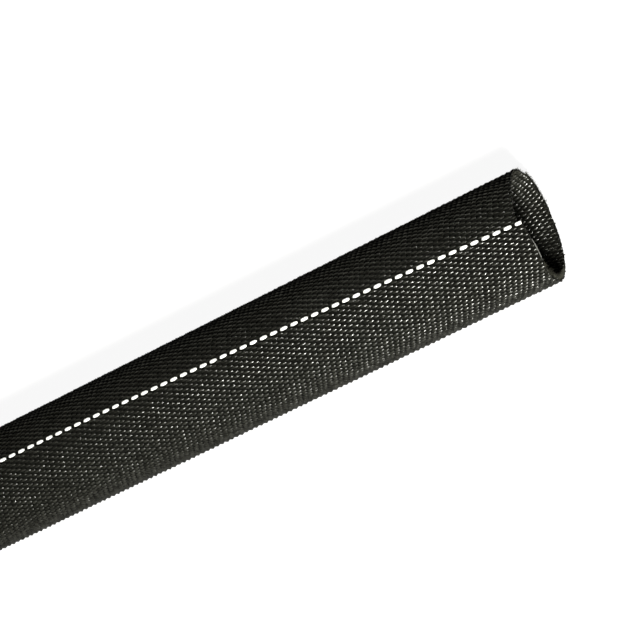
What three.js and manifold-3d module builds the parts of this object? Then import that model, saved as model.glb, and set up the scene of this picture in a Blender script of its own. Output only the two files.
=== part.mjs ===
// Wrap-around cable sleeve: a strip of black plain-woven yarn, heat-set so that it winds round on itself
// by about a turn and a quarter, with one white tracer yarn woven in. It lies on its side.
//
// The strip is drawn flat, as it leaves the loom, in strip coordinates:
//   across  along the weft, from the inner selvedge (0) to the outer selvedge, measured on the wound roll
//   proud   out of the cloth's mid-surface, positive on the outer face
//   along   along the warp, from the photographed cut (0) into the roll
// It is then wound into its roll and laid down. Row frame: +X along the roll towards the photographed cut,
// +Z up, origin under the middle of the roll on the surface that it lies on.

import * as THREE from "three";
import { mergeVertices } from "three/addons/utils/BufferGeometryUtils.js";
import Module from "manifold-3d";

// Driving dimensions, in millimetres and degrees.
const cutLength = 92; // at the middle of the roll
const outerDiameter = 14.2;
const clothThickness = 0.45;
const overlapAngle = 92; // how far the outer lap runs over the inner one
const flapEdgeAngle = 118; // outer selvedge at the photographed cut, from straight up towards +Y
const lapClearance = 0.06; // between the two laps
const lapRampAngle = 30; // over this the cloth climbs off the inner lap to the full diameter
const restSink = 0.2; // how far the roll's underside is pressed flat
const cutSlant = 0.073; // rise of the photographed cut along X for each millimetre of Y
const twistAtCut = 0.353; // degrees per millimetre that the warps turn round the roll
const twistFade = 0.00167; // degrees per square millimetre by which that turn eases off
const twistSteps = 4;

const warpPitch = 0.285;
const warpRidgeHeight = 0.06;
const pickPitch = 0.715;

const tracerAngle = 9.5; // from straight up towards +Y, at the photographed cut
const tracerWidth = 0.42;
const tracerThickness = 0.13;
const tracerProud = 0.09; // top of the tracer over the outer face, where it passes over the wefts
const tracerPicksPerDash = 2;
const tracerClearance = 0.04;
const bindingWidth = 0.31; // of the weft that ties the tracer down, along the warp
const bindingThickness = 0.1;
const bindingGrip = 0.03; // how far that weft runs into the cloth on each side of the tracer
const bindingSunk = 0.02; // its top below the crowns of the warps

const clothBlack = 0x1c1c1a;
const tracerWhite = 0xf2f2ee;

// Worked out from the driving dimensions.
const degree = Math.PI / 180;
const outerRadius = outerDiameter / 2;
const midRadius = outerRadius - clothThickness / 2;
const lapDrop = clothThickness + lapClearance;
const wrapAngle = 360 + overlapAngle;
const arcPerDegree = midRadius * degree;
const stripWidth = wrapAngle * arcPerDegree;
const innerEdgeAngle = flapEdgeAngle + wrapAngle;
const axisHeight = outerRadius - restSink;
const cutPlace = cutLength / 2 - (cutSlant * outerRadius) / 2; // keeps the origin under the roll's middle
const tracerAcross = (innerEdgeAngle - 360 - tracerAngle) * arcPerDegree;
const dashPitch = tracerPicksPerDash * pickPitch;
const outerFace = clothThickness / 2;
const innerFace = -clothThickness / 2;
const channelWidth = tracerWidth + 2 * tracerClearance;
const tracerUnder = bindingSunk + bindingThickness + tracerClearance; // below the outer face, when tied down
const channelDepth = tracerUnder + tracerThickness + tracerClearance;

const smoothRise = (t) => {
  const c = Math.min(Math.max(t, 0), 1);
  return c * c * (3 - 2 * c);
};

// How far the cloth's warps have turned round the roll, in degrees, at a distance from the cut.
const twistAt = (along) => twistAtCut * along - twistFade * along * along;

// Radius of the cloth's mid-surface: the inner lap lies inside the outer one, and climbs out past its edge.
function windingRadius(across) {
  const turned = across / arcPerDegree;
  return midRadius - lapDrop * (1 - smoothRise((turned - overlapAngle) / lapRampAngle));
}

// A point of the flat strip's section, wound into the roll's section: x to +Y of the row, y up.
function windPoint(across, proud) {
  const angle = (innerEdgeAngle - across / arcPerDegree) * degree;
  const radius = windingRadius(across) + proud;
  return new THREE.Vector2(radius * Math.sin(angle), radius * Math.cos(angle));
}

// For a geometry that a mirroring step has left inside out.
function turnFacesRound(geometry) {
  const merged = geometry.index ? geometry : mergeVertices(geometry, 1e-5);
  const corners = merged.index.array;
  for (let i = 0; i < corners.length; i += 3)
    [corners[i + 1], corners[i + 2]] = [corners[i + 2], corners[i + 1]];
  return merged;
}

// Turns a geometry drawn on the roll's section (z along the roll, from the photographed cut) with its warps,
// presses its underside flat and lays it down in the row frame, as one closed surface of shared points.
function layRollDown(drawn) {
  const points = new THREE.BufferGeometry();
  points.setAttribute("position", drawn.getAttribute("position").clone());
  if (drawn.index) points.setIndex(drawn.index);
  const laid = mergeVertices(points, 1e-5);
  const position = laid.getAttribute("position");
  for (let i = 0; i < position.count; i++) {
    const along = position.getZ(i);
    const radius = Math.hypot(position.getX(i), position.getY(i));
    const angle = Math.atan2(position.getX(i), position.getY(i)) + twistAt(along) * degree;
    const y = radius * Math.sin(angle);
    const pressed = restSink - (radius > midRadius ? outerRadius : radius);
    const z = Math.max(radius * Math.cos(angle), pressed);
    const slant = cutSlant * y * (1 - along / cutLength);
    position.setXYZ(i, cutPlace - along + slant, y, z + axisHeight);
  }
  return turnFacesRound(laid);
}

// Winds a small geometry drawn in strip coordinates (x across, y proud, z along), then lays it down.
function windOntoRoll(flat) {
  const position = flat.getAttribute("position");
  for (let i = 0; i < position.count; i++) {
    const wound = windPoint(position.getX(i), position.getY(i));
    position.setXY(i, wound.x, wound.y);
  }
  return layRollDown(turnFacesRound(flat));
}

// Outline of the strip's section: a ridge for each warp on both faces, and a channel for the tracer.
function stripOutline() {
  const warpCount = Math.round(stripWidth / warpPitch);
  const step = stripWidth / warpCount;
  const channelLeft = tracerAcross - channelWidth / 2;
  const channelRight = tracerAcross + channelWidth / 2;
  const channelFloor = outerFace - channelDepth;
  const outline = [windPoint(0, innerFace)];
  for (let i = 1; i < warpCount; i++)
    outline.push(windPoint(i * step, innerFace + (i % 2 ? warpRidgeHeight : 0)));
  outline.push(windPoint(stripWidth, innerFace));
  for (let half = 2 * warpCount; half * step > 2 * channelRight + step; half--)
    outline.push(windPoint((half * step) / 2, outerFace - (half % 2 ? 0 : warpRidgeHeight)));
  outline.push(
    windPoint(channelRight, outerFace),
    windPoint(channelRight, channelFloor),
    windPoint(channelLeft, channelFloor),
    windPoint(channelLeft, outerFace),
  );
  for (let half = Math.floor((2 * channelLeft) / step) - 1; half >= 0; half--)
    outline.push(windPoint((half * step) / 2, outerFace - (half % 2 ? 0 : warpRidgeHeight)));
  return outline;
}

function stripGeometry() {
  const drawn = new THREE.ExtrudeGeometry(new THREE.Shape(stripOutline()), {
    depth: cutLength,
    steps: twistSteps,
    bevelEnabled: false,
  });
  return layRollDown(drawn);
}

// The weft that ties the tracer down between two dashes.
function bindingGeometry(along) {
  const flat = new THREE.BoxGeometry(
    channelWidth + 2 * bindingGrip,
    bindingThickness,
    bindingWidth,
  );
  flat.translate(tracerAcross, outerFace - bindingSunk - bindingThickness / 2, along);
  return windOntoRoll(flat);
}

// Where the wefts tie the tracer down, from the first one past the cut.
function bindingPlaces() {
  const places = [];
  for (let along = dashPitch; along < cutLength - dashPitch / 2; along += dashPitch)
    places.push(along);
  return places;
}

// The tracer yarn: flat filaments that rise over the cloth for each dash and dip under each binding weft.
function tracerGeometry() {
  const section = new THREE.Shape();
  const shoulder = tracerWidth / 2 - tracerThickness / 2;
  section.moveTo(tracerWidth / 2, 0);
  section.lineTo(shoulder, tracerThickness / 2);
  section.lineTo(-shoulder, tracerThickness / 2);
  section.lineTo(-tracerWidth / 2, 0);
  section.lineTo(-shoulder, -tracerThickness / 2);
  section.lineTo(shoulder, -tracerThickness / 2);
  section.closePath();
  const stationsPerDash = 4;
  const places = bindingPlaces();
  const flat = new THREE.ExtrudeGeometry(section, {
    depth: 1,
    steps: stationsPerDash * places.length + 1,
    bevelEnabled: false,
  });
  const dipReach = bindingWidth / 2 + tracerClearance;
  const riseReach = dipReach + tracerThickness;
  const stations = [[0, true]];
  for (const along of places)
    stations.push(
      [along - riseReach, true],
      [along - dipReach, false],
      [along + dipReach, false],
      [along + riseReach, true],
    );
  stations.push([cutLength, true]);
  const overHeight = outerFace + tracerProud - tracerThickness / 2;
  const underHeight = outerFace - tracerUnder - tracerThickness / 2;
  const position = flat.getAttribute("position");
  for (let i = 0; i < position.count; i++) {
    const [along, over] = stations[Math.round(position.getZ(i) * (stations.length - 1))];
    position.setXYZ(
      i,
      tracerAcross + position.getX(i),
      (over ? overHeight : underHeight) + position.getY(i),
      along,
    );
  }
  return windOntoRoll(flat);
}

const manifold = await Module();
manifold.setup();

function toSolid(geometry) {
  const merged = mergeVertices(geometry, 1e-4);
  return new manifold.Manifold(
    new manifold.Mesh({
      numProp: 3,
      vertProperties: Float32Array.from(merged.getAttribute("position").array),
      triVerts: Uint32Array.from(merged.index.array),
    }),
  );
}

function toGeometry(solid) {
  const mesh = solid.getMesh();
  const geometry = new THREE.BufferGeometry();
  geometry.setAttribute("position", new THREE.BufferAttribute(mesh.vertProperties, 3));
  geometry.setIndex(new THREE.BufferAttribute(mesh.triVerts, 1));
  geometry.computeVertexNormals();
  return geometry;
}

// The woven strip with its binding wefts, one piece of cloth.
function wovenWall() {
  let cloth = toSolid(stripGeometry());
  for (const along of bindingPlaces()) cloth = cloth.add(toSolid(bindingGeometry(along)));
  const mesh = new THREE.Mesh(
    toGeometry(cloth),
    new THREE.MeshStandardMaterial({ color: clothBlack, roughness: 0.6, metalness: 0 }),
  );
  mesh.name = "woven_wall";
  return mesh;
}

function tracerYarn() {
  const mesh = new THREE.Mesh(
    tracerGeometry(),
    new THREE.MeshStandardMaterial({ color: tracerWhite, roughness: 0.5, metalness: 0 }),
  );
  mesh.name = "tracer_yarn";
  return mesh;
}

const sleeve = new THREE.Group();
sleeve.name = "cable_sleeve";
sleeve.add(wovenWall(), tracerYarn());

export default sleeve;
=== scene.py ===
import math

import bpy
from mathutils import Euler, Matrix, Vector


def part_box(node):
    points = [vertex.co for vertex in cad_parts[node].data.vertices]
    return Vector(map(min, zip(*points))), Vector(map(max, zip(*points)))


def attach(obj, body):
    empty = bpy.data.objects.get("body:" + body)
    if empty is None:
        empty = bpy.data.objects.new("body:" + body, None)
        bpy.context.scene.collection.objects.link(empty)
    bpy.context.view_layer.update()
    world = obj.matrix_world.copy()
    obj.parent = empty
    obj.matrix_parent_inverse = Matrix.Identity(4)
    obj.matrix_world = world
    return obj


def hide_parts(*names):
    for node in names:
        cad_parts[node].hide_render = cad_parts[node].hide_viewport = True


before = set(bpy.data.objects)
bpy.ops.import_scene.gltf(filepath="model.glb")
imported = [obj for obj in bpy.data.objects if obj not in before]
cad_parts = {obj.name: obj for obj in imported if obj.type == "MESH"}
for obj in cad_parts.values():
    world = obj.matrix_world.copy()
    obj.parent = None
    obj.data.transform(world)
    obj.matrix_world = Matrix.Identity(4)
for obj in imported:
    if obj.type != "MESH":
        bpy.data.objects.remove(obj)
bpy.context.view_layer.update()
wallLow, wallHigh = (Vector(corner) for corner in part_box("woven_wall"))
print("frame loaded, nodes:", ", ".join(sorted(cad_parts)))

mm = 0.001
degree = math.pi / 180
outerRadius = (wallHigh.y - wallLow.y) / 2 / mm

# The roll, in millimetres and degrees, as the solids have it. Angles run from straight up towards +Y.
roll = {
    "clothThickness": 0.45,
    "overlapAngle": 92,      # how far the outer lap runs over the inner one
    "flapEdgeAngle": 118,    # outer selvedge, at the photographed cut
    "lapClearance": 0.06,    # between the two laps
    "lapRampAngle": 30,      # over this the cloth climbs off the inner lap
    "restSink": 0.2,         # how far the underside is pressed flat
    "cutSlant": 0.073,       # rise of the cut along X for each millimetre of Y
    "twistAtCut": 0.353,     # degrees per millimetre that the warps turn round the roll
    "twistFade": 0.00167,    # degrees per square millimetre by which that eases off
    "tracerAngle": 9.5,      # at the photographed cut
}
midRadius = outerRadius - roll["clothThickness"] / 2
lapDrop = roll["clothThickness"] + roll["lapClearance"]
wrapAngle = 360 + roll["overlapAngle"]
arcPerDegree = midRadius * degree
stripWidth = wrapAngle * arcPerDegree
innerEdgeAngle = roll["flapEdgeAngle"] + wrapAngle
tracerAcross = (innerEdgeAngle - 360 - roll["tracerAngle"]) * arcPerDegree
axisHeight = outerRadius - roll["restSink"]
slantReach = roll["cutSlant"] * outerRadius
cutLength = (wallHigh.x - wallLow.x) / mm - slantReach
cutPlace = wallHigh.x / mm - slantReach

# The weave, in millimetres.
weave = {
    "warpPitch": 0.285,
    "pickPitch": 0.715,
    "firstDash": 0.33,       # middle of the tracer's first dash, from the cut
    "pickLean": -0.27,       # how the picks run along the roll for each radian round it
    "pickBow": -0.20,        # and how that lean changes over the roll
    "tracerSpread": 0.07,    # how far the thick tracer pushes its neighbours aside
    "spreadReach": 3,        # in warps
}
warpCount = round(stripWidth / weave["warpPitch"])
warpPitch = stripWidth / warpCount
pickPitch = weave["pickPitch"]
halfPick = pickPitch / 2
tracerWarp = math.floor(tracerAcross / warpPitch)

# The cut was snipped in two bites that meet at the tracer. Reaches are degrees round the roll.
cutShape = {
    "upperBite": 0.62,       # millimetres
    "upperReach": 70,
    "lowerBite": 0.38,
    "lowerReach": 57,
    "besideTracer": 1.2,     # the upper bite starts here, clear of the tracer itself
}


def bowAt(angle):
    return outerRadius * (weave["pickLean"] * angle + weave["pickBow"] * math.cos(angle))


pickStart = weave["firstDash"] - bowAt(roll["tracerAngle"] * degree)


def acrossAt(angle):  # place across the strip, for an angle in degrees at the cut
    return (innerEdgeAngle - 360 - angle) * arcPerDegree


class Sock:  # one socket of a node tree, with arithmetic
    def __init__(self, tree, socket):
        self.tree = tree
        self.socket = socket

    def calc(self, operation, *values):
        return self.tree.add("ShaderNodeMath", {"operation": operation}, list(values))

    def __add__(self, other):
        return self.calc("ADD", self, other)

    def __radd__(self, other):
        return self.calc("ADD", other, self)

    def __sub__(self, other):
        return self.calc("SUBTRACT", self, other)

    def __rsub__(self, other):
        return self.calc("SUBTRACT", other, self)

    def __mul__(self, other):
        return self.calc("MULTIPLY", self, other)

    def __rmul__(self, other):
        return self.calc("MULTIPLY", other, self)

    def __truediv__(self, other):
        return self.calc("DIVIDE", self, other)

    def __rtruediv__(self, other):
        return self.calc("DIVIDE", other, self)

    def __neg__(self):
        return self.calc("MULTIPLY", self, -1)

    def __abs__(self):
        return self.calc("ABSOLUTE", self)

    def __lt__(self, other):
        return self.calc("LESS_THAN", self, other)

    def __gt__(self, other):
        return self.calc("GREATER_THAN", self, other)

    def sin(self):
        return self.calc("SINE", self)

    def cos(self):
        return self.calc("COSINE", self)

    def exp(self):
        return self.calc("EXPONENT", self)

    def floor(self):
        return self.calc("FLOOR", self)

    def sign(self):
        return self.calc("SIGN", self)

    def atLeast(self, other):
        return self.calc("MAXIMUM", self, other)

    def atMost(self, other):
        return self.calc("MINIMUM", self, other)

    def mapped(self, low, high, toLow=0.0, toHigh=1.0, smooth=False):
        settings = {"interpolation_type": "SMOOTHSTEP" if smooth else "LINEAR"}
        values = {"Value": self, "From Min": low, "From Max": high, "To Min": toLow, "To Max": toHigh}
        return self.tree.add("ShaderNodeMapRange", settings, values)


class Tree:  # a node tree under construction
    def __init__(self, nodeTree):
        self.nodeTree = nodeTree

    def add(self, kind, settings=None, values=None, output=0):
        node = self.nodeTree.nodes.new(kind)
        for name, value in (settings or {}).items():
            setattr(node, name, value)
        pairs = values.items() if isinstance(values, dict) else enumerate(values or [])
        for key, value in pairs:
            if isinstance(value, Sock):
                self.nodeTree.links.new(value.socket, node.inputs[key])
            else:
                node.inputs[key].default_value = value
        return Sock(self, node.outputs[output]) if node.outputs else node

    def named(self, first, name):  # another output of the node that first comes from
        return Sock(self, first.socket.node.outputs[name])


class YarnTree(Tree):  # a geometry node tree with named inputs, whose strip is wound onto the roll
    def __init__(self, name, inputs):
        group = bpy.data.node_groups.new(name, "GeometryNodeTree")
        super().__init__(group)
        group.interface.new_socket("Geometry", in_out="OUTPUT", socket_type="NodeSocketGeometry")
        self.sockets = {}
        kinds = {int: "NodeSocketInt", float: "NodeSocketFloat"}
        for label, value in {**inputs, "Material": None}.items():
            kind = "NodeSocketMaterial" if value is None else kinds[type(value)]
            socket = group.interface.new_socket(label, in_out="INPUT", socket_type=kind)
            if value is not None:
                socket.default_value = value
            self.sockets[label] = socket
        self.entry = self.add("NodeGroupInput")

    def input(self, label):
        return self.named(self.entry, label)

    def random(self, low, high, key, seed):
        values = {2: low, 3: high, "ID": key, "Seed": seed}  # 2 and 3 are the node's Min and Max as floats
        return self.add("FunctionNodeRandomValue", {"data_type": "FLOAT"}, values, output=1)

    def vector(self, x, y, z):
        return self.add("ShaderNodeCombineXYZ", None, [x, y, z])

    def store(self, geometry, name, value, kind="FLOAT"):
        return self.add("GeometryNodeStoreNamedAttribute", {"data_type": kind, "domain": "POINT"},
                        {"Geometry": geometry, "Name": name, "Value": value})

    def keep(self, curves, spare):  # leaves out the points where spare isn't 0
        return self.add("GeometryNodeDeleteGeometry", {"domain": "POINT"},
                        {"Geometry": curves, "Selection": spare})

    # Makes straight curves of so many stations each, with the fields that number the curves and the stations.
    def curves(self, stations, count):
        line = self.add("GeometryNodeCurvePrimitiveLine", None, {"End": (1, 0, 0)})
        fine = self.add("GeometryNodeResampleCurve", None, {"Curve": line, "Count": stations})
        copies = self.add("GeometryNodeDuplicateElements", {"domain": "SPLINE"},
                          {"Geometry": fine, "Amount": count})
        station = self.add("GeometryNodeSplineParameter", output="Index")
        return copies, self.named(copies, "Duplicate Index"), station

    # Lays the curves in strip coordinates, which are millimetres: along the warp, across it, proud.
    def lay(self, curves, along, across, proud, broad, tint):
        place = self.vector(along, across, proud)
        placed = self.add("GeometryNodeSetPosition", None, {"Geometry": curves, "Position": place})
        sized = self.add("GeometryNodeSetCurveRadius", None, {"Curve": placed, "Radius": broad})
        return self.store(sized, "tint", tint)

    # Makes a flat-lying yarn of each curve, closed at its cut ends.
    def yarns(self, curves, width, thickness, sides, turn=0.0):
        lying = self.add("GeometryNodeSetCurveNormal", {"mode": "FREE"},
                         {"Curve": curves, "Normal": (0, 0, 1)})
        ring = self.add("GeometryNodeCurvePrimitiveCircle", None, {"Resolution": sides, "Radius": 0.5})
        section = self.add("GeometryNodeTransform", None,
                           {"Geometry": ring, "Rotation": (0, 0, turn),
                            "Scale": self.vector(thickness, width, 1)})
        mesh = self.add("GeometryNodeCurveToMesh", None,
                        {"Curve": lying, "Profile Curve": section, "Fill Caps": True,
                         "Scale": self.add("GeometryNodeInputRadius")})
        return self.add("GeometryNodeSetShadeSmooth", None, {"Geometry": mesh})

    # Sets a mesh drawn flat into the roll, and keeps its strip coordinates on it for the materials.
    def wind(self, mesh):
        flat = self.add("GeometryNodeInputPosition")
        parts = self.add("ShaderNodeSeparateXYZ", None, [flat])
        along, across, proud = (self.named(parts, axis) for axis in "XYZ")
        kept = self.store(mesh, "strip", flat, "FLOAT_VECTOR")
        turned = across / arcPerDegree
        twist = along * roll["twistAtCut"] - along * along * roll["twistFade"]
        angle = (innerEdgeAngle - turned + twist) * degree
        overlap = roll["overlapAngle"]
        ramp = turned.mapped(overlap, overlap + roll["lapRampAngle"], smooth=True)
        radius = midRadius - lapDrop * (1 - ramp) + proud
        y = radius * angle.sin()
        z = (radius * angle.cos()).atLeast(roll["restSink"] - radius)
        slant = roll["cutSlant"] * y * (1 - along / cutLength)
        place = self.vector((cutPlace - along + slant) * mm, y * mm, (z + axisHeight) * mm)
        return self.add("GeometryNodeSetPosition", None, {"Geometry": kept, "Position": place})

    def finish(self, mesh):
        real = self.add("GeometryNodeRealizeInstances", None, {"Geometry": self.wind(mesh)})
        done = self.add("GeometryNodeSetMaterial", None,
                        {"Geometry": real, "Material": self.input("Material")})
        self.add("NodeGroupOutput", None, [done])
        return self


# Formulas that the yarns share, for a field of places across the strip.
def angleFlat(across):
    return (innerEdgeAngle - 360) * degree - across / midRadius


def pickBow(across):
    angle = angleFlat(across)
    return outerRadius * (weave["pickLean"] * angle + weave["pickBow"] * angle.cos()) + pickStart


def warpPlace(step):  # across the strip, for a warp counted from the tracer
    push = weave["tracerSpread"] * step.sign() * (-(abs(step) / weave["spreadReach"])).exp()
    return tracerAcross + step * warpPitch + push


def cutEdge(across):  # where the yarns end at the photographed cut
    past = (angleFlat(across) / degree) - roll["tracerAngle"]
    upper = past.mapped(0, cutShape["upperReach"], cutShape["upperBite"], 0)
    inUpper = past > cutShape["besideTracer"]
    lower = (past * (math.pi / cutShape["lowerReach"])).sin() * cutShape["lowerBite"]
    inLower = (past < 0) * (past > -cutShape["lowerReach"])
    return upper * inUpper + lower * inLower


# Runs a yarn tree with its inputs set, and keeps the result as a plain mesh.
def makePiece(name, tree, values, material, node):
    holder = bpy.data.objects.new(name + "_maker", bpy.data.meshes.new(name + "_maker"))
    bpy.context.scene.collection.objects.link(holder)
    modifier = holder.modifiers.new("yarns", "NODES")
    modifier.node_group = tree.nodeTree
    for label, value in {**values, "Material": material}.items():
        modifier[tree.sockets[label].identifier] = value
    depsgraph = bpy.context.evaluated_depsgraph_get()
    mesh = bpy.data.meshes.new_from_object(holder.evaluated_get(depsgraph), depsgraph=depsgraph)
    mesh.name = name
    bpy.data.objects.remove(holder)
    piece = bpy.data.objects.new(name, mesh)
    bpy.context.scene.collection.objects.link(piece)
    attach(piece, "root")
    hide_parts(node)
    triangles = sum(len(polygon.vertices) - 2 for polygon in mesh.polygons)
    print(f"{name}: {triangles} triangles")


# Materials
blackYarn = {
    "colour": (0.0105, 0.0107, 0.0083),
    "specularTint": (1.0, 0.99, 0.88, 1),
    "tintSpread": 1.0,       # how much the shade differs from place to place
    "roughness": 0.36,
    "specular": 0.2,
    "shine": 1.0,            # coat on the crowns
    "shineRoughness": 0.23,
    "paintedHollowShade": 0.08,     # painted shade: the part of the colour kept where the yarn lies deep in the cloth
    "crownHeight": (0.03, 0.10),
    "filamentsPerMillimetre": 28,
    "bump": 0.35,
}
weftYarn = {
    # colour far below the warps' black: partly the weft's own black, partly painted shade for the gaps
    # between the warps' crowns where the wefts lie
    "colour": (0.0035, 0.0035, 0.003),
    "specularTint": (1.0, 0.99, 0.88, 1),
    "tintSpread": 0.4,
    "roughness": 0.8,
    "specular": 0.02,
    "shine": 0.0,
    "shineRoughness": 0.2,
    "paintedHollowShade": 1.0,
    "crownHeight": (0.0, 0.1),
    "filamentsPerMillimetre": 22,
    "bump": 0.3,
}
fluff = {
    # colour lighter than the black yarn the filaments come from: painted sheen, for the light that loose
    # filaments catch at the cut
    "colour": (0.030, 0.030, 0.022),
    "specularTint": (1.0, 0.99, 0.88, 1),
    "tintSpread": 1.2,
    "roughness": 0.5,
    "specular": 0.5,
    "shine": 0.0,
    "shineRoughness": 0.2,
    "paintedHollowShade": 1.0,
    "crownHeight": (0.0, 0.1),
    "filamentsPerMillimetre": 22,
    "bump": 0.1,
}
# colour lighter still: painted sheen, for the light line that the loose black weft shows along the near lip
looseYarn = {**fluff, "colour": (0.10, 0.10, 0.095)}
whiteYarn = {
    "colour": (0.83, 0.84, 0.80),
    "specularTint": (1.0, 1.0, 1.0, 1),
    "tintSpread": 0.06,
    "roughness": 0.55,
    "specular": 0.4,
    "shine": 0.0,
    "shineRoughness": 0.2,
    "paintedHollowShade": 0.7,
    "crownHeight": (0.0, 0.12),
    "filamentsPerMillimetre": 24,
    "bump": 0.25,
}

# What the bundled filaments of every yarn do to its finish.
filaments = {
    "length": 30,            # of a streak, in widths of a filament
    "detail": 2.0,
    "relief": 0.02,          # millimetres
    "roughStreaks": 0.2,     # how much the roughness differs between streaks
    "roughHollows": 0.3,     # more rough in the hollows
    "roughTint": 0.16,       # and from place to place
    "shineLeast": 0.1,       # of the shine, on the dullest crown
    "shineSpread": 1.8,      # and how much more on the brightest
}


def yarnMaterial(name, look, filamentAxis):  # fine streaks along the yarn, in tint, gloss and relief, with painted shade in the hollows
    material = bpy.data.materials.new(name)
    material.use_nodes = True
    material.node_tree.nodes.clear()
    tree = Tree(material.node_tree)
    strip = tree.add("ShaderNodeAttribute", {"attribute_name": "strip"}, output="Vector")
    tint = tree.add("ShaderNodeAttribute", {"attribute_name": "tint"}, output="Fac")
    fine = look["filamentsPerMillimetre"]
    stretch = [fine, fine, fine]
    stretch[filamentAxis] = fine / filaments["length"]
    scaled = tree.add("ShaderNodeMapping", None, {"Vector": strip, "Scale": tuple(stretch)})
    noise = {"Vector": scaled, "Scale": 1.0, "Detail": filaments["detail"]}
    streaks = tree.add("ShaderNodeTexNoise", None, noise) - 0.5
    place = tint - 0.5
    parts = tree.add("ShaderNodeSeparateXYZ", None, [strip])
    low, high = look["crownHeight"]
    crown = abs(tree.named(parts, "Z")).mapped(low, high, smooth=True)
    shade = 1 + place * look["tintSpread"] + streaks * look["tintSpread"]
    # painted shade: the colour darkens where the yarn dips into the cloth, away from the crowns
    shade = shade * (look["paintedHollowShade"] + crown * (1 - look["paintedHollowShade"]))
    colour = tree.add("ShaderNodeVectorMath", {"operation": "SCALE"},
                      {0: look["colour"], "Scale": shade})
    rough = look["roughness"] + streaks * filaments["roughStreaks"]
    rough = rough + (1 - crown) * filaments["roughHollows"] + place * filaments["roughTint"]
    shine = crown * look["shine"] * (filaments["shineLeast"] + tint * filaments["shineSpread"])
    relief = tree.add("ShaderNodeBump", None,
                      {"Strength": look["bump"], "Distance": filaments["relief"] * mm, "Height": streaks})
    shader = tree.add("ShaderNodeBsdfPrincipled", None,
                      {"Base Color": colour, "Roughness": rough, "Normal": relief,
                       "Specular IOR Level": look["specular"], "Specular Tint": look["specularTint"],
                       "Coat Weight": shine, "Coat Roughness": look["shineRoughness"],
                       "Coat Normal": relief})
    tree.add("ShaderNodeOutputMaterial", None, [shader])
    return material


alongWarp, acrossWarp = 0, 1  # axes of the strip that the filaments follow
warpMaterial = yarnMaterial("black_warp", blackYarn, alongWarp)
weftMaterial = yarnMaterial("black_weft", weftYarn, acrossWarp)
tracerMaterial = yarnMaterial("white_tracer", whiteYarn, alongWarp)
looseMaterial = yarnMaterial("loose_pick", looseYarn, acrossWarp)
fluffMaterial = yarnMaterial("black_fluff", fluff, alongWarp)
print("materials made")


# Warps: the black yarns along the sleeve.
warps = {
    "groups": 4,             # pieces that the warps are split into
    "width": 0.29,
    "thickness": 0.10,
    "crownSwell": 0.4,       # how much broader it is over a weft
    "crimp": 0.145,          # how far a warp swings out of the middle of the cloth
    "wander": 0.036,         # at random, up, down and sideways
    "endScatter": 0.05,      # how unevenly the ends are cut
    "sides": 6,
    "seed": 7,
}


def warpTree():
    tree = YarnTree("warp_yarns", {
        "First": 0, "Count": 1, "Width": warps["width"], "Thickness": warps["thickness"],
        "Crimp": warps["crimp"], "Wander": warps["wander"], "Swell": warps["crownSwell"],
        "Scatter": warps["endScatter"], "Seed": warps["seed"],
    })
    stations = math.ceil(cutLength / halfPick) + 3
    curves, copy, station = tree.curves(stations, tree.input("Count"))
    step = tree.input("First") + copy - tracerWarp
    across = warpPlace(step)
    bow = pickBow(across)
    seed = tree.input("Seed")
    scatter = tree.input("Scatter")
    wander = tree.input("Wander")
    number = tree.add("GeometryNodeInputIndex")
    start = cutEdge(across) + tree.random(-1.0, 1.0, copy, seed) * scatter
    end = cutLength + tree.random(-1.0, 0.0, copy, seed + 1) * scatter
    first = ((start - bow) / halfPick).floor() * halfPick + bow
    free = first + station * halfPick
    along = free.atLeast(start).atMost(end)
    swing = ((along - bow) * (math.pi / pickPitch) + step * math.pi).cos()
    proud = swing * tree.input("Crimp") + tree.random(-1.0, 1.0, number, seed + 2) * wander
    sway = tree.random(-1.0, 1.0, number, seed + 3) * wander
    broad = 1 + abs(swing) * tree.input("Swell")
    tint = tree.random(0.0, 1.0, number, seed + 4)
    laid = tree.lay(curves, along, across + sway, proud, broad, tint)
    atTracer = abs(step) < 0.5
    kept = tree.keep(laid, (free - halfPick > end) + atTracer)
    turn = math.pi / warps["sides"]  # a flat side of the section up
    return tree.finish(tree.yarns(kept, tree.input("Width"), tree.input("Thickness"), warps["sides"], turn))


def makeWarps():
    tree = warpTree()
    perGroup = math.ceil(warpCount / warps["groups"])
    for group in range(warps["groups"]):
        first = group * perGroup
        values = {"First": first, "Count": min(perGroup, warpCount - first),
                  "Seed": warps["seed"] + group * 10}
        makePiece(f"warps_{group + 1}", tree, values, warpMaterial, "woven_wall")


makeWarps()

# Wefts: the black yarns across the strip, which lean along the roll.
wefts = {
    "groups": 2,
    "width": 0.78,
    "thickness": 0.13,
    "crimp": 0.02,
    "overTracer": 0.10,      # how far a weft rises where it ties the tracer down
    "tieNarrow": 0.4,        # and how much narrower it is there
    "overCut": 0.06,         # at most, how far the side of a weft stands over the cut
    "thinnest": 0.12,        # of its width, where the cut leaves off a weft
    "sides": 6,
    "seed": 101,
}


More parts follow.
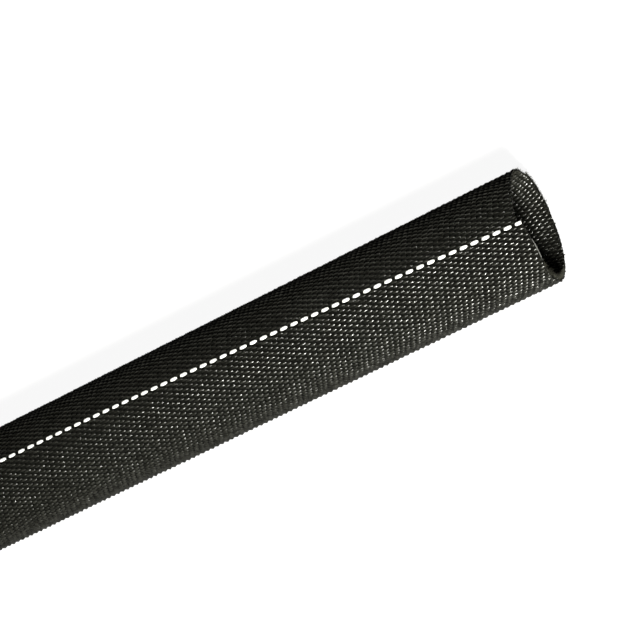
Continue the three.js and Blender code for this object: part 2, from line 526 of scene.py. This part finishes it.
def weftTree():
    tree = YarnTree("weft_yarns", {
        "First": 0, "Count": 1, "Width": wefts["width"], "Thickness": wefts["thickness"],
        "Crimp": wefts["crimp"], "Tie": wefts["overTracer"], "Seed": wefts["seed"],
    })
    curves, copy, station = tree.curves(warpCount, tree.input("Count"))
    step = station - tracerWarp
    across = warpPlace(step)
    pick = tree.input("First") + copy
    width = tree.input("Width")
    free = pick * pickPitch + pickBow(across)
    low = (free - width / 2).atLeast(cutEdge(across) - wefts["overCut"])
    high = (free + width / 2).atMost(cutLength + wefts["overCut"])
    left = (high - low) / width
    atTracer = abs(step) < 0.5
    under = ((step + pick) * math.pi).cos()
    tie = atTracer * (-under).atLeast(0) * tree.input("Tie")
    proud = tie - under * tree.input("Crimp")
    broad = (1 - atTracer * wefts["tieNarrow"]) * left
    tint = tree.random(0.0, 1.0, copy, tree.input("Seed"))
    laid = tree.lay(curves, (low + high) / 2, across, proud, broad, tint)
    kept = tree.keep(laid, left < wefts["thinnest"])
    return tree.finish(tree.yarns(kept, width, tree.input("Thickness"), wefts["sides"]))


def pickRange():  # first and last pick that cross the cut length anywhere on the strip
    angles = [(innerEdgeAngle - 360 - wrapAngle * part / 100) * degree for part in range(101)]
    bows = [bowAt(angle) + pickStart for angle in angles]
    return math.floor(-max(bows) / pickPitch), math.ceil((cutLength - min(bows)) / pickPitch)


def makeWefts():
    tree = weftTree()
    firstPick, lastPick = pickRange()
    perGroup = math.ceil((lastPick - firstPick + 1) / wefts["groups"])
    for group in range(wefts["groups"]):
        values = {"First": firstPick + group * perGroup, "Count": perGroup,
                  "Seed": wefts["seed"] + group}
        makePiece(f"wefts_{group + 1}", tree, values, weftMaterial, "woven_wall")


makeWefts()

# Tracer: one thick white yarn, laid in as a warp.
tracer = {
    "width": 0.43,
    "thickness": 0.15,
    "high": 0.16,            # middle of the yarn in a dash, over the middle of the cloth
    "low": -0.10,            # and where a weft ties it down
    "rise": (-0.9, -0.25),   # from and to this part of the swing it climbs, from -1 in a tie to 1 in a dash
    "fill": (-0.8, 0.7),     # and over this it fills out
    "tied": 0.45,            # of its full size, under the tie
    "stationsPerPick": 8,
    "sides": 10,
    "seed": 31,
}


def tracerTree():
    tree = YarnTree("tracer_yarn", {
        "Width": tracer["width"], "Thickness": tracer["thickness"],
        "High": tracer["high"], "Low": tracer["low"],
    })
    stations = math.ceil(cutLength / pickPitch * tracer["stationsPerPick"])
    curves, _, station = tree.curves(stations, 1)
    across = station * 0 + tracerAcross
    start = cutEdge(across)
    along = start + station * ((cutLength - start) / (stations - 1))
    swing = ((along - pickBow(across)) * (math.pi / pickPitch)).cos()
    rise = swing.mapped(*tracer["rise"], smooth=True)
    proud = tree.input("Low") + (tree.input("High") - tree.input("Low")) * rise
    broad = swing.mapped(*tracer["fill"], tracer["tied"], 1.0, smooth=True)
    tint = tree.random(0.0, 1.0, station, tracer["seed"])
    laid = tree.lay(curves, along, across, proud, broad, tint)
    return tree.finish(tree.yarns(laid, tree.input("Width"), tree.input("Thickness"), tracer["sides"]))


makePiece("tracer", tracerTree(), {}, tracerMaterial, "tracer_yarn")

# Fluff: broken filaments that stand out of the photographed cut.
fray = {
    "thickness": 0.035,
    "rooted": 0.2,           # how far back from the cut a filament comes out of the cloth
    "depth": 0.14,           # at most, from the middle of the cloth
    "taper": 0.6,            # of its thickness, lost at the tip
    "shortest": 0.1,         # of the reach
    "stations": 5,
    "sides": 3,
    "seed": 57,
    "places": {              # angles round the roll in degrees, the rest in millimetres; curl is inwards
        "all_round": {"from": 208, "to": -240, "count": 300, "reach": 0.14, "lift": 0.12, "curl": 0.0},
        "flap_corner": {"from": -190, "to": -242, "count": 150, "reach": 0.40, "lift": 0.35, "curl": 0.0},
        "top_corner": {"from": 118, "to": 62, "count": 130, "reach": 0.32, "lift": 0.30, "curl": 0.0},
        "lower_lip": {"from": -36, "to": -116, "count": 520, "reach": 0.34, "lift": 0.34, "curl": 0.75},
    },
}


def frayTree():
    tree = YarnTree("cut_fluff", {
        "From": 0.0, "To": 1.0, "Count": 1, "Reach": 0.1, "Lift": 0.1, "Curl": 0.0,
        "Thickness": fray["thickness"], "Seed": fray["seed"],
    })
    curves, copy, station = tree.curves(fray["stations"], tree.input("Count"))
    seed = tree.input("Seed")
    lift = tree.input("Lift")
    part = station / (fray["stations"] - 1)
    bend = part * part
    root = tree.random(tree.input("From"), tree.input("To"), copy, seed)
    length = tree.random(fray["shortest"], 1.0, copy, seed + 1)
    along = cutEdge(root) + fray["rooted"] * (1 - part) - part * length * length * tree.input("Reach")
    across = root + bend * tree.random(-1.0, 1.0, copy, seed + 2) * lift
    proud = tree.random(-fray["depth"], fray["depth"], copy, seed + 3)
    proud = proud + bend * tree.random(-1.0, 1.0, copy, seed + 4) * lift
    proud = proud - part * length * tree.input("Curl")
    tint = tree.random(0.0, 1.0, copy, seed + 5)
    laid = tree.lay(curves, along, across, proud, 1 - part * fray["taper"], tint)
    thickness = tree.input("Thickness")
    return tree.finish(tree.yarns(laid, thickness, thickness, fray["sides"]))


def makeFluff():
    tree = frayTree()
    for order, (name, place) in enumerate(fray["places"].items()):
        values = {"From": acrossAt(place["from"]), "To": min(acrossAt(place["to"]), stripWidth),
                  "Count": place["count"], "Reach": place["reach"], "Lift": place["lift"],
                  "Curl": place["curl"], "Seed": fray["seed"] + 10 * order}
        makePiece("fluff_" + name, tree, values, fluffMaterial, "woven_wall")


makeFluff()

# Loose pick: a thin weft that has come out of the cut and lies along its near lip.
loosePick = {
    "from": -9,              # degrees round the roll
    "to": -33,
    "thickness": 0.11,
    "slim": 0.4,             # of its thickness, at its ends
    "overCut": 0.07,
    "bow": 0.05,             # how much further over the cut its middle stands
    "proud": 0.12,
    "waver": 0.02,
    "waverTurns": 17,        # radians from end to end
    "stations": 30,
    "sides": 6,
    "seed": 3,
}


def looseTree():
    tree = YarnTree("loose_pick", {"Thickness": loosePick["thickness"], "Bow": loosePick["bow"]})
    curves, _, station = tree.curves(loosePick["stations"], 1)
    part = station / (loosePick["stations"] - 1)
    start, end = acrossAt(loosePick["from"]), acrossAt(loosePick["to"])
    across = part * (end - start) + start
    arch = (part * math.pi).sin()
    along = cutEdge(across) - loosePick["overCut"] - arch * tree.input("Bow")
    waver = (part * loosePick["waverTurns"]).sin() * loosePick["waver"]
    broad = arch * (1 - loosePick["slim"]) + loosePick["slim"]
    tint = tree.random(0.0, 1.0, station, loosePick["seed"])
    laid = tree.lay(curves, along, across, arch * loosePick["proud"] + waver, broad, tint)
    thickness = tree.input("Thickness")
    return tree.finish(tree.yarns(laid, thickness, thickness, loosePick["sides"]))


makePiece("loose_pick", looseTree(), {}, looseMaterial, "woven_wall")

# Camera: from above, leaning towards the cut end and turned, through a long lens.
cameraView = {
    "focalPixels": 2400,
    "imagePixels": 640,
    "sensor": 36,            # millimetres
    "near": 0.01,            # metres
    "far": 50,
    "towardsCut": 10.159,    # camera from the middle of the cut, in outer radii
    "above": 38.053,
    "lean": 20.63,           # degrees
    "sideLean": 0.26,
    "turn": -26.12,
}


def makeCamera():
    view = cameraView
    data = bpy.data.cameras.new("camera")
    data.sensor_width = view["sensor"]
    data.lens = view["focalPixels"] / view["imagePixels"] * view["sensor"]
    data.clip_start = view["near"]
    data.clip_end = view["far"]
    camera = bpy.data.objects.new("camera", data)
    place = Vector((cutPlace + view["towardsCut"] * outerRadius, 0,
                    axisHeight + view["above"] * outerRadius))
    camera.location = place * mm
    turns = [(0, view["lean"], 0), (view["sideLean"], 0, 0), (0, 0, view["turn"])]
    lean, sideLean, turn = (Euler([part * degree for part in parts]).to_matrix() for parts in turns)
    camera.rotation_euler = (lean @ sideLean @ turn).to_euler()
    bpy.context.scene.collection.objects.link(camera)
    bpy.context.scene.camera = camera
    print("camera set")


makeCamera()

# Floor, world and lamps, in metres.
studio = {
    "floorSize": 3.0,
    "floorColour": (0.12, 0.12, 0.12, 1),
    "floorBounce": (0.08, 0.08, 0.08, 1),  # its colour for the light that it throws back
    "floorLift": 0.93,       # added to what the camera sees of the floor, so that it is white
    "floorInGloss": 0.03,    # and how much of that the cloth's gloss shows
    "fill": 0.045,           # strength of the world, but for what the camera sees of it
    "lampColour": (1.0, 0.99, 0.94),
    "lampsAimAt": (0.02, 0, 0.007),
    "lamps": {
        "key": {"watts": 4.1, "size": (0.065, 0.065), "place": (0.12, -0.145, 0.337)},
        "side": {"watts": 0.06, "size": (0.12, 0.12), "place": (0.22, -0.33, 0.18)},
    },
}


def makeFloor():
    size = studio["floorSize"]
    mesh = bpy.data.meshes.new("floor")
    corners = [(-size, -size, 0), (size, -size, 0), (size, size, 0), (-size, size, 0)]
    mesh.from_pydata(corners, [], [(0, 1, 2, 3)])
    floor = bpy.data.objects.new("floor", mesh)
    bpy.context.scene.collection.objects.link(floor)
    material = bpy.data.materials.new("floor")
    material.use_nodes = True
    material.node_tree.nodes.clear()
    tree = Tree(material.node_tree)
    rays = tree.add("ShaderNodeLightPath", output="Is Camera Ray")
    seen = rays.atLeast(tree.named(rays, "Is Glossy Ray") * studio["floorInGloss"])
    seen = seen.atLeast(tree.named(rays, "Is Transmission Ray"))
    plain = tree.add("ShaderNodeBsdfDiffuse", None, {"Color": studio["floorBounce"]})
    pale = tree.add("ShaderNodeBsdfDiffuse", None, {"Color": studio["floorColour"]})
    lift = tree.add("ShaderNodeEmission", None, {"Color": (1, 1, 1, 1), "Strength": studio["floorLift"]})
    lifted = tree.add("ShaderNodeAddShader", None, [pale, lift])
    tree.add("ShaderNodeOutputMaterial", None, [tree.add("ShaderNodeMixShader", None, [seen, plain, lifted])])
    mesh.materials.append(material)


def makeWorld():
    world = bpy.data.worlds.new("studio")
    bpy.context.scene.world = world
    world.use_nodes = True
    world.node_tree.nodes.clear()
    tree = Tree(world.node_tree)
    strength = tree.add("ShaderNodeLightPath", output="Is Camera Ray").mapped(0, 1, studio["fill"], 1.0)
    sky = tree.add("ShaderNodeBackground", None, {"Color": (1, 1, 1, 1), "Strength": strength})
    tree.add("ShaderNodeOutputWorld", None, [sky])


def makeLamp(name, lamp):
    data = bpy.data.lights.new(name, "AREA")
    data.shape = "RECTANGLE"
    data.size, data.size_y = lamp["size"]
    data.energy = lamp["watts"]
    data.color = studio["lampColour"]
    holder = bpy.data.objects.new(name, data)
    holder.location = lamp["place"]
    facing = Vector(studio["lampsAimAt"]) - Vector(lamp["place"])
    holder.rotation_euler = facing.to_track_quat("-Z", "Y").to_euler()
    bpy.context.scene.collection.objects.link(holder)


makeFloor()
makeWorld()
for name, lamp in studio["lamps"].items():
    makeLamp(name, lamp)
print("studio set")

bpy.context.scene.view_settings.view_transform = "Standard"
